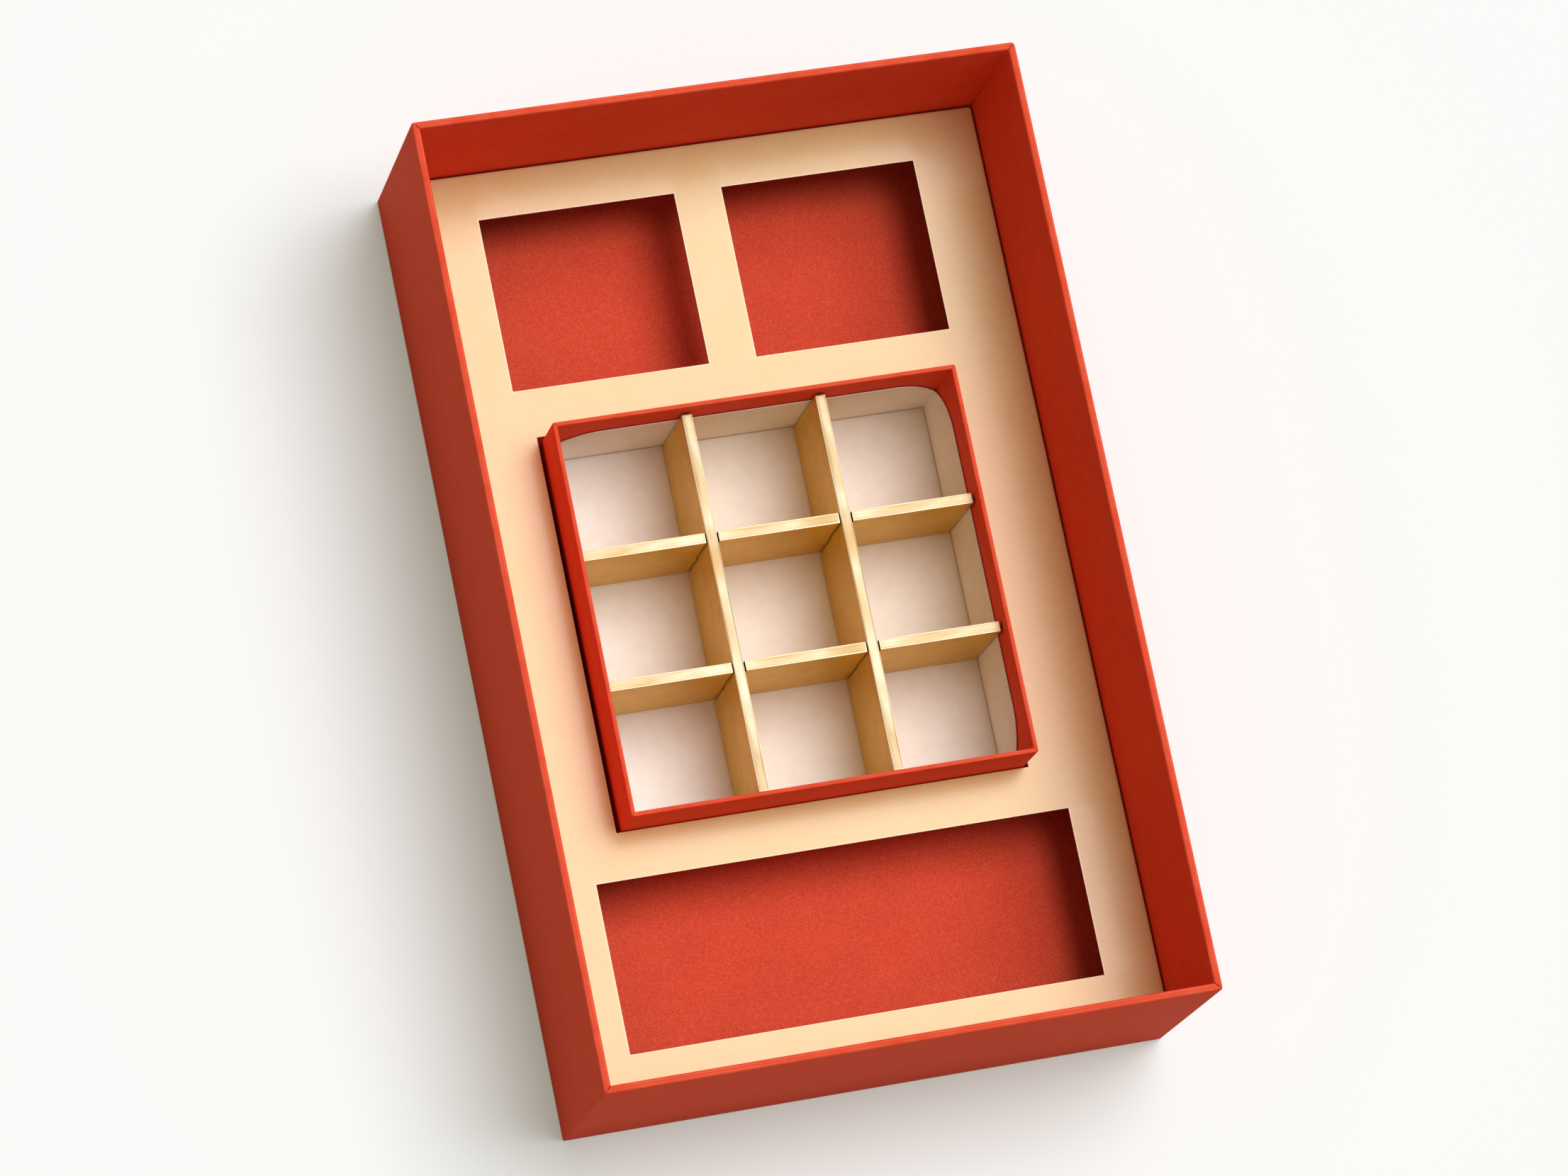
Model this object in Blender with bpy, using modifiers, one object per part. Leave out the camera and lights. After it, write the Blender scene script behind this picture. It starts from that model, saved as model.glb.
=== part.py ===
"""Hamper box: a rigid gift box wrapped in red paper, with a window platform, a small tray and gold dividers.

The origin is at the middle of the underside. X runs to the right, Y to the back and Z up, in metres.
"""
import math
from dataclasses import dataclass

import bmesh
import bpy
from mathutils import Matrix, Vector

# Box shell
box_width = 0.200
box_length = 0.316
box_height = 0.080
box_board = 0.0015
box_paper = 0.0002
box_stay_paper = 0.00012
box_stay_gap = 0.00015
box_glue_gap = 0.0002
box_turn_in = 0.020
box_stay_leg = 0.014

# Mitre between two wrapping papers, measured square across it
mitre_gap = 0.0003

# What stands on something lies this far above it
rest_gap = 0.0003

# Window platform, one folded card
platform_rise = 0.026
platform_card = 0.001
platform_play = 0.0006
platform_corner_relief = 0.002
back_window_back_margin = 0.0159
back_window_side_margin = 0.0234
back_window_bar = 0.016
tray_bar_back = 0.0162
tray_bar_front = 0.0147
front_window_front_margin = 0.0164
front_window_side_margin = 0.0184

# Inner tray
tray_width = 0.1345
tray_length = 0.1305
tray_height = 0.0436
tray_set_forward = 0.002
tray_play = 0.0011
tray_board = 0.0007
tray_paper = 0.00016
tray_stay_paper = 0.0001
tray_stay_gap = 0.00012
tray_glue_gap = 0.00014
tray_turn_in = 0.018
tray_stay_leg = 0.010

# Paper liner of the tray
liner_paper = 0.0003
liner_play = 0.0003
liner_below_rim = 0.0124
liner_corner_radius = 0.011

# Divider grid
strip_thickness = 0.0034
strip_below_rim = 0.0053
strip_end_play = 0.00035
slot_play = 0.0005
slot_depth_play = 0.0003

# Drawing aids
overrun = 0.005
weld_distance = 0.000001
rim_steps = 6
flap_corner_steps = 6
cells_across = 3

parts_name = "hamper_box"
cutters_name = "cutters"
up = Vector((0, 0, 1))


@dataclass
class Carton:
    """A rigid box: greyboard walls round a greyboard base, corner stays, and one wrapping paper for each wall."""

    prefix: str
    foot: Vector
    width: float
    length: float
    height: float
    board: float
    paper: float
    stay_paper: float
    stay_gap: float
    glue_gap: float
    turn_in: float
    stay_leg: float

    @property
    def board_outside(self):
        """Depth from the wall's outer face to its board."""
        return self.paper + self.stay_gap + self.stay_paper + self.stay_gap

    @property
    def board_inside(self):
        """Depth from the wall's outer face to the back of its board."""
        return self.board_outside + self.board

    @property
    def wall(self):
        """Whole thickness of a wall at the rim, papers and all."""
        return self.board_inside + self.glue_gap + self.paper

    @property
    def bend(self):
        """Radius of the rounded rim."""
        return self.wall / 2

    @property
    def board_foot(self):
        """Height of the boards' lower edges above the underside."""
        return self.paper + self.glue_gap

    @property
    def board_top(self):
        """Height of the wall boards' upper edges above the underside."""
        return self.height - self.bend

    @property
    def base_top(self):
        """Height of the base board's upper face above the underside."""
        return self.board_foot + self.board

    @property
    def inner_half_width(self):
        return self.width / 2 - self.wall

    @property
    def inner_half_length(self):
        return self.length / 2 - self.wall


box = Carton("", Vector((0, 0, 0)), box_width, box_length, box_height, box_board, box_paper,
             box_stay_paper, box_stay_gap, box_glue_gap, box_turn_in, box_stay_leg)

floor_top = box.base_top + box_glue_gap + box_paper

tray = Carton("tray_", Vector((0, -tray_set_forward, floor_top + rest_gap)), tray_width, tray_length,
              tray_height, tray_board, tray_paper, tray_stay_paper, tray_stay_gap, tray_glue_gap,
              tray_turn_in, tray_stay_leg)

tray_rim = tray.foot.z + tray_height
liner_foot = tray.foot.z + tray.base_top + rest_gap
strip_foot = liner_foot + liner_paper + rest_gap


def clear_scene():
    """Takes away every object and every collection that an earlier run left."""
    for thing in list(bpy.data.objects):
        bpy.data.objects.remove(thing, do_unlink=True)
    for group in list(bpy.data.collections):
        bpy.data.collections.remove(group)


def make_collection(name):
    group = bpy.data.collections.new(name)
    bpy.context.scene.collection.children.link(group)
    return group


def make_material(name, colour, roughness, metallic):
    material = bpy.data.materials.new(name)
    material.use_nodes = True
    shader = material.node_tree.nodes["Principled BSDF"]
    shader.inputs["Base Color"].default_value = (*colour, 1)
    shader.inputs["Roughness"].default_value = roughness
    shader.inputs["Metallic"].default_value = metallic
    material.diffuse_color = (*colour, 1)
    return material


def make_body(name, place):
    """An empty on a body's lift axis, which carries the body's pieces."""
    empty = bpy.data.objects.new(name + "_lift", None)
    empty.location = place
    parts.objects.link(empty)
    return empty


def add_piece(name, mesh, carrier, place, material):
    """Names a mesh as a piece, and sets it on the body that carries it."""
    mesh.name = name
    mesh.materials.clear()
    mesh.materials.append(material)
    piece = bpy.data.objects.new(name, mesh)
    parts.objects.link(piece)
    piece.parent = carrier
    piece.matrix_local = Matrix.Translation(-carrier.location) @ place
    return piece


def block_mesh(size):
    """A cube primitive stretched to a size."""
    mesh = bpy.data.meshes.new("block")
    shape = bmesh.new()
    bmesh.ops.create_cube(shape, size=1)
    bmesh.ops.scale(shape, vec=size, verts=shape.verts)
    shape.to_mesh(mesh)
    shape.free()
    return mesh


def add_block(name, carrier, low, high, material):
    """A plain board or sheet between two corners."""
    middle = (low + high) / 2
    return add_piece(name, block_mesh(high - low), carrier, Matrix.Translation(middle), material)


def outline_mesh(points, thickness):
    """A closed flat outline, filled and given a thickness, with its caps welded to its sides."""
    curve = bpy.data.curves.new("outline", "CURVE")
    curve.dimensions = "2D"
    curve.fill_mode = "BOTH"
    curve.extrude = thickness / 2
    spline = curve.splines.new("POLY")
    spline.points.add(len(points) - 1)
    for point, (x, y) in zip(spline.points, points):
        point.co = (x, y, 0, 1)
    spline.use_cyclic_u = True
    drawn = bpy.data.objects.new("outline", curve)
    parts.objects.link(drawn)
    evaluated = drawn.evaluated_get(bpy.context.evaluated_depsgraph_get())
    mesh = bpy.data.meshes.new_from_object(evaluated)
    bpy.data.objects.remove(drawn)
    bpy.data.curves.remove(curve)
    shape = bmesh.new()
    shape.from_mesh(mesh)
    bmesh.ops.remove_doubles(shape, verts=shape.verts, dist=weld_distance)
    bmesh.ops.recalc_face_normals(shape, faces=shape.faces)
    shape.to_mesh(mesh)
    shape.free()
    return mesh


def arc(centre_x, centre_y, radius, start, end, steps):
    """Points along an arc, both ends included, with its angles in quarter turns."""
    points = []
    for step in range(steps + 1):
        angle = (start + (end - start) * step / steps) * math.pi / 2
        points.append((centre_x + radius * math.cos(angle), centre_y + radius * math.sin(angle)))
    return points


def cutter_block(name, carrier, low, high):
    """A wire block that cuts others and isn't a piece itself."""
    cutter = bpy.data.objects.new(name, block_mesh(high - low))
    cutters.objects.link(cutter)
    cutter.parent = carrier
    cutter.matrix_local = Matrix.Translation((low + high) / 2 - carrier.location)
    cutter.hide_render = True
    cutter.display_type = "WIRE"
    return cutter


def cut(piece, cutter):
    modifier = piece.modifiers.new(cutter.name, "BOOLEAN")
    modifier.operation = "DIFFERENCE"
    modifier.object = cutter


def wall_sides(carton):
    """Each wall's name, inward direction, distance from the middle to its outer face, and outer length."""
    return (
        ("left", Vector((1, 0, 0)), carton.width / 2, carton.length),
        ("right", Vector((-1, 0, 0)), carton.width / 2, carton.length),
        ("back", Vector((0, -1, 0)), carton.length / 2, carton.width),
        ("front", Vector((0, 1, 0)), carton.length / 2, carton.width),
    )


def wrap_section(carton):
    """Section of a wall's wrapping paper: depth into the wall against height above the underside."""
    rim_centre = carton.board_top
    turn_in_end = carton.height - carton.turn_in
    outside = arc(carton.bend, rim_centre, carton.bend, 2, 0, rim_steps)
    inside = arc(carton.bend, rim_centre, carton.bend - carton.paper, 0, 2, rim_steps)
    outside_foot = (0, 0)
    inside_foot = (carton.paper, 0)
    turn_in_edge = ((carton.wall, turn_in_end), (carton.wall - carton.paper, turn_in_end))
    return [outside_foot, *outside, *turn_in_edge, *inside, inside_foot]


def add_wrap(carton, name, inward, reach, run, carrier, material):
    """One wall's wrapping paper, bent over the rim, with both ends mitred to meet its neighbours."""
    mesh = outline_mesh(wrap_section(carton), run)
    for vertex in mesh.vertices:
        mitred = run / 2 - vertex.co.x - mitre_gap / math.sqrt(2)
        vertex.co.z = math.copysign(mitred, vertex.co.z)
    turn = Matrix((inward, up, inward.cross(up))).transposed().to_4x4()
    place = Matrix.Translation(carton.foot - inward * reach) @ turn
    add_piece(f"{carton.prefix}wrap_{name}", mesh, carrier, place, material)


def add_wall_boards(carton, carrier, material):
    """Side boards along the whole length, end boards between them, and the base board inside all four."""
    outside = carton.board_outside
    inside = carton.board_inside
    foot = carton.board_foot
    top = carton.board_top
    half_width = carton.width / 2
    half_length = carton.length / 2
    for name, side in (("left", -1), ("right", 1)):
        edges = sorted((side * (half_width - outside), side * (half_width - inside)))
        low = Vector((edges[0], outside - half_length, foot))
        high = Vector((edges[1], half_length - outside, top))
        add_block(f"{carton.prefix}board_{name}", carrier, carton.foot + low, carton.foot + high, material)
    end_half = half_width - inside - carton.glue_gap
    for name, side in (("back", 1), ("front", -1)):
        edges = sorted((side * (half_length - outside), side * (half_length - inside)))
        low = Vector((-end_half, edges[0], foot))
        high = Vector((end_half, edges[1], top))
        add_block(f"{carton.prefix}board_{name}", carrier, carton.foot + low, carton.foot + high, material)
    base_half = Vector((end_half, half_length - inside - carton.glue_gap, 0))
    low = carton.foot - base_half + up * foot
    high = carton.foot + base_half + up * carton.base_top
    add_block(f"{carton.prefix}base_board", carrier, low, high, material)


def add_stays(carton, carrier, material):
    """An angle of strong paper outside each corner of the boards, under the wrapping paper."""
    leg = carton.stay_leg
    skin = carton.stay_paper
    corner = carton.paper + carton.stay_gap
    height = carton.board_top - carton.board_foot
    middle = (carton.board_top + carton.board_foot) / 2
    for end_name, end in (("back", 1), ("front", -1)):
        for side_name, side in (("left", -1), ("right", 1)):
            angle = [(0, 0), (leg, 0), (leg, skin), (skin, skin), (skin, leg), (0, leg)]
            points = [(-side * x, -end * y) for x, y in angle]
            place = Vector((side * (carton.width / 2 - corner), end * (carton.length / 2 - corner), middle))
            add_piece(f"{carton.prefix}stay_{end_name}_{side_name}", outline_mesh(points, height), carrier,
                      Matrix.Translation(carton.foot + place), material)


def add_base_sheet(carton, carrier, material):
    """The paper under the base, inside the feet of the four wrapping papers."""
    inset = carton.paper + carton.stay_gap
    half = Vector((carton.width / 2 - inset, carton.length / 2 - inset, 0))
    low = carton.foot - half
    high = carton.foot + half + up * carton.paper
    add_block(f"{carton.prefix}base_sheet", carrier, low, high, material)


def add_carton(carton, carrier):
    add_wall_boards(carton, carrier, greyboard)
    add_stays(carton, carrier, stay_paper)
    for name, inward, reach, run in wall_sides(carton):
        add_wrap(carton, name, inward, reach, run, carrier, red_paper)
    add_base_sheet(carton, carrier, red_paper)


def add_linings(carrier):
    """Red papers on the inside of the box's walls, up to the turned-in wrapping, and grained paper on its floor."""
    foot = box.base_top + box_glue_gap
    top = box_height - box_turn_in - box_glue_gap
    inner_x = box.inner_half_width
    inner_y = box.inner_half_length
    for name, side in (("left", -1), ("right", 1)):
        edges = sorted((side * inner_x, side * (inner_x + box_paper)))
        low = Vector((edges[0], -inner_y - box_paper, foot))
        high = Vector((edges[1], inner_y + box_paper, top))
        add_block(f"lining_{name}", carrier, low, high, lining_paper)
    for name, side in (("back", 1), ("front", -1)):
        edges = sorted((side * inner_y, side * (inner_y + box_paper)))
        low = Vector((box_glue_gap - inner_x, edges[0], foot))
        high = Vector((inner_x - box_glue_gap, edges[1], top))
        add_block(f"lining_{name}", carrier, low, high, lining_paper)
    half = Vector((inner_x - box_glue_gap, inner_y - box_glue_gap, 0))
    add_block("floor_lining", carrier, up * foot - half, up * floor_top + half, grained_paper)


def window_corners():
    """Each window's name and its lowest and highest X and Y, from the platform's edges and the tray's place."""
    edge_x = box.inner_half_width - platform_play
    edge_y = box.inner_half_length - platform_play
    tray_x = tray_width / 2 + tray_play
    tray_y = tray_length / 2 + tray_play
    tray_back = tray.foot.y + tray_y
    tray_front = tray.foot.y - tray_y
    back_low = tray_back + tray_bar_back
    back_high = edge_y - back_window_back_margin
    back_outer = edge_x - back_window_side_margin
    back_inner = back_window_bar / 2
    front_half = edge_x - front_window_side_margin
    return {
        "back_left": ((-back_outer, back_low), (-back_inner, back_high)),
        "back_right": ((back_inner, back_low), (back_outer, back_high)),
        "tray": ((-tray_x, tray_front), (tray_x, tray_back)),
        "front": ((-front_half, front_window_front_margin - edge_y), (front_half, tray_front - tray_bar_front)),
    }


def add_platform(carrier, material):
    """A card with its four edges folded down as legs, hollow below, with four windows punched through."""
    edge_x = box.inner_half_width - platform_play
    edge_y = box.inner_half_length - platform_play
    foot = floor_top + rest_gap
    platform = add_block("platform_card", carrier, Vector((-edge_x, -edge_y, foot)),
                         Vector((edge_x, edge_y, platform_rise)), material)
    under = platform_rise - platform_card
    below = foot - overrun
    above = platform_rise + overrun
    hollow_x = edge_x - platform_card
    hollow_y = edge_y - platform_card
    cut(platform, cutter_block("platform_hollow", carrier, Vector((-hollow_x, -hollow_y, below)),
                               Vector((hollow_x, hollow_y, under))))
    for name, (low, high) in window_corners().items():
        cut(platform, cutter_block("window_" + name, carrier, Vector((*low, below)), Vector((*high, above))))
    for end in (-1, 1):
        for side in (-1, 1):
            edges_x = sorted((side * (edge_x - platform_corner_relief), side * (edge_x + overrun)))
            edges_y = sorted((end * (edge_y - platform_corner_relief), end * (edge_y + overrun)))
            name = f"corner_relief_{'back' if end > 0 else 'front'}_{'right' if side > 0 else 'left'}"
            cut(platform, cutter_block(name, carrier, Vector((edges_x[0], edges_y[0], below)),
                                       Vector((edges_x[1], edges_y[1], under))))


def liner_half_sizes():
    """Half the liner's outside width and length, inside the tray's walls."""
    return tray.inner_half_width - liner_play, tray.inner_half_length - liner_play


def add_liner(carrier, material):
    """A floor with four flaps folded up, their upper corners rounded, as a skin that is then given its thickness."""
    half_x, half_y = liner_half_sizes()
    flap_top = tray_rim - liner_below_rim - liner_foot
    radius = liner_corner_radius
    corners = [(-half_x, -half_y), (half_x, -half_y), (half_x, half_y), (-half_x, half_y)]
    shape = bmesh.new()
    floor = [shape.verts.new((x, y, 0)) for x, y in corners]
    notch = [shape.verts.new((x, y, flap_top - radius)) for x, y in corners]
    shape.faces.new(floor)
    for index, start in enumerate(corners):
        following = (index + 1) % len(corners)
        start = Vector(start)
        end = Vector(corners[following])
        run = (end - start).length
        along = (end - start) / run
        far = arc(run - radius, flap_top - radius, radius, 0, 1, flap_corner_steps)[1:]
        near = arc(radius, flap_top - radius, radius, 1, 2, flap_corner_steps)[:-1]
        edge = []
        for distance, height in far + near:
            spot = start + along * distance
            edge.append(shape.verts.new((spot.x, spot.y, height)))
        shape.faces.new([floor[index], floor[following], notch[following], *edge, notch[index]])
    bmesh.ops.recalc_face_normals(shape, faces=shape.faces)
    mesh = bpy.data.meshes.new("liner")
    shape.to_mesh(mesh)
    shape.free()
    liner = add_piece("liner", mesh, carrier, Matrix.Translation(Vector((0, tray.foot.y, liner_foot))), material)
    thicken = liner.modifiers.new("paper", "SOLIDIFY")
    thicken.thickness = liner_paper
    thicken.offset = inward_offset(mesh)
    thicken.use_even_offset = True


def inward_offset(mesh):
    """Solidify's offset that grows the skin inwards, whichever way its faces point."""
    faces_out = sum(face.normal.dot(Vector((*face.center.xy, 0))) for face in mesh.polygons) > 0
    return -1 if faces_out else 1


def strip_outline(run, height, slots, slot_from_top):
    """A strip seen from its side: a rectangle with slots cut from its upper or its lower edge."""
    depth = height / 2 + slot_depth_play
    half_slot = strip_thickness / 2 + slot_play
    cut_edge = []
    for place in slots:
        cut_edge += [(place - half_slot, 0), (place - half_slot, depth), (place + half_slot, depth),
                     (place + half_slot, 0)]
    if slot_from_top:
        cut_edge = [(place, height - rise) for place, rise in cut_edge]
        return [(run / 2, 0), (-run / 2, 0), (-run / 2, height), *cut_edge, (run / 2, height)]
    return [(-run / 2, 0), *cut_edge, (run / 2, 0), (run / 2, height), (-run / 2, height)]


def strip_places():
    """How far the cross strips and the long strips stand from the tray's middle, for even cells."""
    half_x, half_y = liner_half_sizes()
    places = []
    for half in (half_x, half_y):
        clear = 2 * (half - liner_paper) - (cells_across - 1) * strip_thickness
        places.append((clear / cells_across + strip_thickness) / 2)
    return places


def add_strips(cross_carrier, long_carriers, material):
    """Two strips across, slotted from above, and two strips along, slotted from below, that drop over them."""
    half_x, half_y = liner_half_sizes()
    height = tray_rim - strip_below_rim - strip_foot
    place_x, place_y = strip_places()
    upright_across = Matrix.Rotation(math.pi / 2, 4, "X")
    upright_along = Matrix.Rotation(math.pi / 2, 4, "Z") @ upright_across
    cross_run = 2 * (half_x - liner_paper - strip_end_play)
    for name, side in (("back", 1), ("front", -1)):
        mesh = outline_mesh(strip_outline(cross_run, height, (-place_x, place_x), True), strip_thickness)
        place = Matrix.Translation(Vector((0, tray.foot.y + side * place_y, strip_foot))) @ upright_across
        add_piece(f"cross_strip_{name}", mesh, cross_carrier, place, material)
    long_run = 2 * (half_y - liner_paper - strip_end_play)
    for name, side in (("left", -1), ("right", 1)):
        mesh = outline_mesh(strip_outline(long_run, height, (-place_y, place_y), False), strip_thickness)
        place = Matrix.Translation(Vector((side * place_x, tray.foot.y, strip_foot))) @ upright_along
        add_piece(f"long_strip_{name}", mesh, long_carriers[name], place, material)


clear_scene()
parts = make_collection(parts_name)
cutters = make_collection(cutters_name)

red_paper = make_material("red_wrapping_paper", (0.35, 0.045, 0.022), 0.55, 0)
lining_paper = make_material("red_lining_paper", (0.33, 0.038, 0.018), 0.6, 0)
grained_paper = make_material("red_grained_paper", (0.60, 0.07, 0.045), 0.5, 0)
greyboard = make_material("greyboard", (0.32, 0.29, 0.25), 0.9, 0)
stay_paper = make_material("stay_paper", (0.50, 0.36, 0.22), 0.85, 0)
cream_card = make_material("cream_gold_card", (0.90, 0.66, 0.40), 0.45, 0)
white_paper = make_material("pale_liner_paper", (0.78, 0.66, 0.58), 0.8, 0)
gold_board = make_material("gold_paper_board", (0.80, 0.52, 0.20), 0.35, 0.6)

shell_body = make_body("box_shell", box.foot)
platform_body = make_body("platform", Vector((0, 0, floor_top + rest_gap)))
tray_body = make_body("tray", tray.foot)
liner_body = make_body("liner", Vector((0, tray.foot.y, liner_foot)))
cross_body = make_body("cross_strips", Vector((0, tray.foot.y, strip_foot)))
strip_offset = strip_places()[0]
long_bodies = {
    "left": make_body("long_strip_left", Vector((-strip_offset, tray.foot.y, strip_foot))),
    "right": make_body("long_strip_right", Vector((strip_offset, tray.foot.y, strip_foot))),
}

add_carton(box, shell_body)
add_linings(shell_body)
add_platform(platform_body, cream_card)
add_carton(tray, tray_body)
add_liner(liner_body, white_paper)
add_strips(cross_body, long_bodies, gold_board)
bpy.context.view_layer.update()
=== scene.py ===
import math

import bmesh
import bpy
from mathutils import Matrix, Vector


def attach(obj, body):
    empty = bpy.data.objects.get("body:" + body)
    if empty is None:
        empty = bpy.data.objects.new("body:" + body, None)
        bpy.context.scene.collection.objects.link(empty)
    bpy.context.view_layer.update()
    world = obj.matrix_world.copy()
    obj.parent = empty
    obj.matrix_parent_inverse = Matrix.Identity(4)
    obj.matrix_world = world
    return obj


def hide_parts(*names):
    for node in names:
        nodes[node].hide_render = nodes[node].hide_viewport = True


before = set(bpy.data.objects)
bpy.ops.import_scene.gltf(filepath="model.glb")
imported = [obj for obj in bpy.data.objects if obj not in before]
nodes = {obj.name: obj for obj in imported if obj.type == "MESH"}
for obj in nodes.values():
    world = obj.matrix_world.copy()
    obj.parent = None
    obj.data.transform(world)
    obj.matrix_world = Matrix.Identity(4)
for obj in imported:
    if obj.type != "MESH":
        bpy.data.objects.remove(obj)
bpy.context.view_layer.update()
mm = 0.001


# Studio: a pale paper sheet on a table, a broad soft lamp high on the right, and a long lens above the front left
# corner. The sheet keeps the box's shadow, and it looks as pale to the camera and in gloss as the air around it.
def colour(code):
    """Linear colour of an sRGB hex value."""
    shares = [int(code[place:place + 2], 16) / 255 for place in (1, 3, 5)]
    return (*[s / 12.92 if s <= 0.04045 else ((s + 0.055) / 1.055) ** 2.4 for s in shares], 1)


def add_node(tree, kind, inputs=None, **settings):
    """Adds a node with its settings. Each input, by name or number, takes a value, a socket or a node's result."""
    node = tree.nodes.new(kind)
    for name, value in settings.items():
        setattr(node, name, value)
    for name, value in (inputs or {}).items():
        numbered = isinstance(name, int)
        socket = node.inputs[name] if numbered else next(s for s in node.inputs if s.name == name and s.enabled)
        if isinstance(value, bpy.types.Node):
            value = next(s for s in value.outputs if s.enabled)
        if isinstance(value, bpy.types.NodeSocket):
            tree.links.new(value, socket)
        else:
            socket.default_value = value
    return node


def empty_tree(holder):
    """The node tree of a material or of the world, emptied."""
    holder.use_nodes = True
    holder.node_tree.nodes.clear()
    return holder.node_tree


def seen_directly(tree):
    """1 for what the camera, a gloss or clear glass sees, and 0 for the light that falls on things."""
    path = add_node(tree, "ShaderNodeLightPath").outputs
    camera_or_gloss = add_node(tree, "ShaderNodeMath", {0: path["Is Camera Ray"], 1: path["Is Glossy Ray"]},
                               operation="MAXIMUM")
    return add_node(tree, "ShaderNodeMath", {0: camera_or_gloss, 1: path["Is Transmission Ray"]},
                    operation="MAXIMUM")


def place_object(name, data):
    """A new object in the scene, with this data."""
    placed = bpy.data.objects.new(name, data)
    bpy.context.scene.collection.objects.link(placed)
    return placed


air_light = 0.29
air_seen = 1.0
bpy.context.scene.world = bpy.data.worlds.new("studio_air")
air = empty_tree(bpy.context.scene.world)
air_is_seen = seen_directly(air)
air_level = add_node(air, "ShaderNodeMapRange", {"Value": air_is_seen, "To Min": air_light, "To Max": air_seen})
air_tint = add_node(air, "ShaderNodeMix",
                    {"Factor": air_is_seen, "A": colour("#ffeace"), "B": colour("#ffffff")}, data_type="RGBA")
air_shader = add_node(air, "ShaderNodeBackground", {"Color": air_tint, "Strength": air_level})
add_node(air, "ShaderNodeOutputWorld", {"Surface": air_shader})
bpy.context.scene.view_settings.view_transform = "Standard"

# Uncoated white paper has no gloss at all. A faint glow, which lights nothing, makes it look as pale as the air.
sheet_glow = 0.19
sheet_material = bpy.data.materials.new("matt_white_table_paper")
sheet = empty_tree(sheet_material)
sheet_is_seen = seen_directly(sheet)
sheet_tint = add_node(sheet, "ShaderNodeMix",
                      {"Factor": sheet_is_seen, "A": colour("#bcbcbc"), "B": colour("#ebebf5")}, data_type="RGBA")
sheet_paper = add_node(sheet, "ShaderNodeBsdfDiffuse", {"Color": sheet_tint})
glow_level = add_node(sheet, "ShaderNodeMath", {0: sheet_is_seen, 1: sheet_glow}, operation="MULTIPLY")
glow = add_node(sheet, "ShaderNodeEmission", {"Color": colour("#d5ffec"), "Strength": glow_level})
sheet_shader = add_node(sheet, "ShaderNodeAddShader", {0: sheet_paper, 1: glow})
add_node(sheet, "ShaderNodeOutputMaterial", {"Surface": sheet_shader})

sheet_half = 4.0
sheet_corners = [(x * sheet_half, y * sheet_half, 0) for x, y in ((-1, -1), (1, -1), (1, 1), (-1, 1))]
sheet_mesh = bpy.data.meshes.new("table_sheet")
sheet_mesh.from_pydata(sheet_corners, [], [(0, 1, 2, 3)])
sheet_mesh.materials.append(sheet_material)
table_sheet = place_object("table_sheet", sheet_mesh)

lamp_height = math.radians(69)
lamp_turn = math.radians(25)
lamp_spread = math.radians(44)
lamp = bpy.data.lights.new("soft_lamp", "SUN")
lamp.energy = 2.4
lamp.angle = lamp_spread
lamp.color = colour("#fffefb")[:3]
to_lamp = Vector((math.cos(lamp_height) * math.cos(lamp_turn), math.cos(lamp_height) * math.sin(lamp_turn),
                  math.sin(lamp_height)))
place_object("soft_lamp", lamp).rotation_euler = to_lamp.to_track_quat("Z", "Y").to_euler()

camera = bpy.data.cameras.new("camera")
camera.sensor_width = 36
camera.lens = 154.38
camera.clip_start = 0.1
camera.clip_end = 20
camera_place = Vector((-0.50593, -0.47021, 2.07584))
picture_right = Vector((0.96098318, -0.19941526, 0.19168953))
picture_up = Vector((0.14698231, 0.95520872, 0.25685113))
camera_turn = Matrix((picture_right, picture_up, picture_right.cross(picture_up))).transposed()
camera_object = place_object("camera", camera)
camera_object.matrix_world = Matrix.Translation(camera_place) @ camera_turn.to_4x4()
bpy.context.scene.camera = camera_object


# Boards and stays: grey recycled board makes the walls and bases of the box and of the tray, and angles of gummed
# kraft paper hold their corners. Both lie under the red paper, and show only in the slits of its mitres.
def start_finish(name):
    """A material, its empty tree, and the place on the piece in metres."""
    material = bpy.data.materials.new(name)
    tree = empty_tree(material)
    return material, tree, add_node(tree, "ShaderNodeTexCoord").outputs["Object"]


def two_shades(tree, place, shades, speck_share, patches, specks, speck_range=(0.35, 0.65)):
    """Two shades in soft patches with fine specks: the colour, the blend behind it, the patches and the specks."""
    patch = add_node(tree, "ShaderNodeTexNoise", {"Vector": place, **patches})
    speck = add_node(tree, "ShaderNodeTexNoise", {"Vector": place, **specks})
    patchy = add_node(tree, "ShaderNodeMapRange", {"Value": patch, "From Min": 0.3, "From Max": 0.7})
    speckled = add_node(tree, "ShaderNodeMapRange",
                        {"Value": speck, "From Min": speck_range[0], "From Max": speck_range[1]})
    blend = add_node(tree, "ShaderNodeMix", {"Factor": speck_share, "A": patchy, "B": speckled}, data_type="FLOAT")
    tint = add_node(tree, "ShaderNodeMix", {"Factor": blend, "A": colour(shades[0]), "B": colour(shades[1])},
                    data_type="RGBA")
    return tint, blend, patch, speck


def end_finish(tree, relief_pattern, relief, looks):
    """Ends a material: a shader with these looks, raised by a pattern to a depth in metres."""
    bump = add_node(tree, "ShaderNodeBump", {"Height": relief_pattern, "Strength": 1.0, "Distance": relief})
    shader = add_node(tree, "ShaderNodeBsdfPrincipled", {"Normal": bump, **looks})
    add_node(tree, "ShaderNodeOutputMaterial", {"Surface": shader})


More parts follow.
